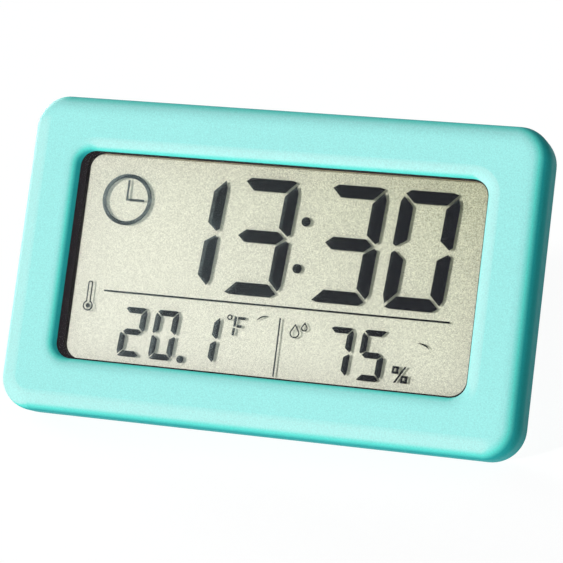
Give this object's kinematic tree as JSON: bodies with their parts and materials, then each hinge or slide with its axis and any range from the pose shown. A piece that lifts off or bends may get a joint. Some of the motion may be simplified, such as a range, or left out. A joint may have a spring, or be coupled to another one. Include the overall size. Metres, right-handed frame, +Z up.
{
  "type": "thermometer hygrometer clock",
  "caption": "Small rectangular table clock with a segment display for time, temperature and humidity, leaning back on a fold-out rear stand.",
  "frame": {"origin": "on the table, under the middle of the object's bounding box, with the stand out", "axes": "+X to the right of the display, -Y towards the viewer, +Z up; the display leans back 24.4 degrees"},
  "size_m": [0.098, 0.0328, 0.0565],
  "materials": {
    "case_plastic": "fine matte texture",
    "button_plastic": "satin",
    "clear_lens": "clear, polished",
    "black_tape": "matte",
    "black_plastic": "satin",
    "polariser_film": "anti-glare",
    "display_glass": "clear",
    "display_ink": "dark",
    "seal_resin": "matte",
    "display_backing": "satin, finely grained",
    "connector_rubber": "striped",
    "board_laminate": "solder mask",
    "screw_steel": "plated",
    "chip_resin": "gloss",
    "crystal_can": "bright",
    "component_body": "matte",
    "switch_body": "matte",
    "sensor_bead": "gloss",
    "sensor_plate": "satin",
    "contact_metal": "plated",
    "cell_can": "bright",
    "magnet_nickel": "nickel plated"
  },
  "bodies": {
    "case": {"front_bezel": "case_plastic", "rear_case": "case_plastic", "window_lens": "clear_lens", "lens_tape": "black_tape", "lcd_frame": "black_plastic", "lcd_front_polariser": "polariser_film", "lcd_front_glass": "display_glass", "lcd_segments": "display_ink", "lcd_seal": "seal_resin", "lcd_rear_glass": "display_glass", "lcd_reflector": "display_backing", "zebra_strips": "connector_rubber", "circuit_board": "board_laminate", "board_screws": "screw_steel", "controller_chip": "chip_resin", "quartz_crystal": "crystal_can", "board_components": "component_body", "button_switches": "switch_body", "temperature_sensor": "sensor_bead", "humidity_sensor": "sensor_plate", "battery_contact_positive": "contact_metal", "battery_contact_negative": "contact_metal", "coin_cell": "cell_can", "magnets": "magnet_nickel", "case_screws": "screw_steel"},
    "kickstand": {"kickstand": "case_plastic"},
    "battery_door": {"battery_door": "case_plastic"},
    "mode_button": {"mode_button": "button_plastic"},
    "up_button": {"up_button": "button_plastic"},
    "down_button": {"down_button": "button_plastic"}
  },
  "joints": [
    {"name": "kickstand_hinge", "type": "hinge", "parent": "case", "child": "kickstand", "pos_m": [0, 0.00984, 0.03803], "axis": [1, 0, 0], "range_deg": [-30, 0]},
    {"name": "battery_door_turn", "type": "hinge", "parent": "case", "child": "battery_door", "pos_m": [0.02901, 0.00375, 0.02207], "axis": [0, 0.9107, -0.4131], "range_deg": [0, 30]},
    {"name": "mode_button_press", "type": "slide", "parent": "case", "child": "mode_button", "axis": [0, -0.9107, 0.4131], "range_m": [0, 0.0005], "stiffness_N_per_m": 1500, "springref_m": -0.0002},
    {"name": "up_button_press", "type": "slide", "parent": "case", "child": "up_button", "axis": [0, -0.9107, 0.4131], "range_m": [0, 0.0005], "stiffness_N_per_m": 1500, "springref_m": -0.0002},
    {"name": "down_button_press", "type": "slide", "parent": "case", "child": "down_button", "axis": [0, -0.9107, 0.4131], "range_m": [0, 0.0005], "stiffness_N_per_m": 1500, "springref_m": -0.0002}
  ]
}
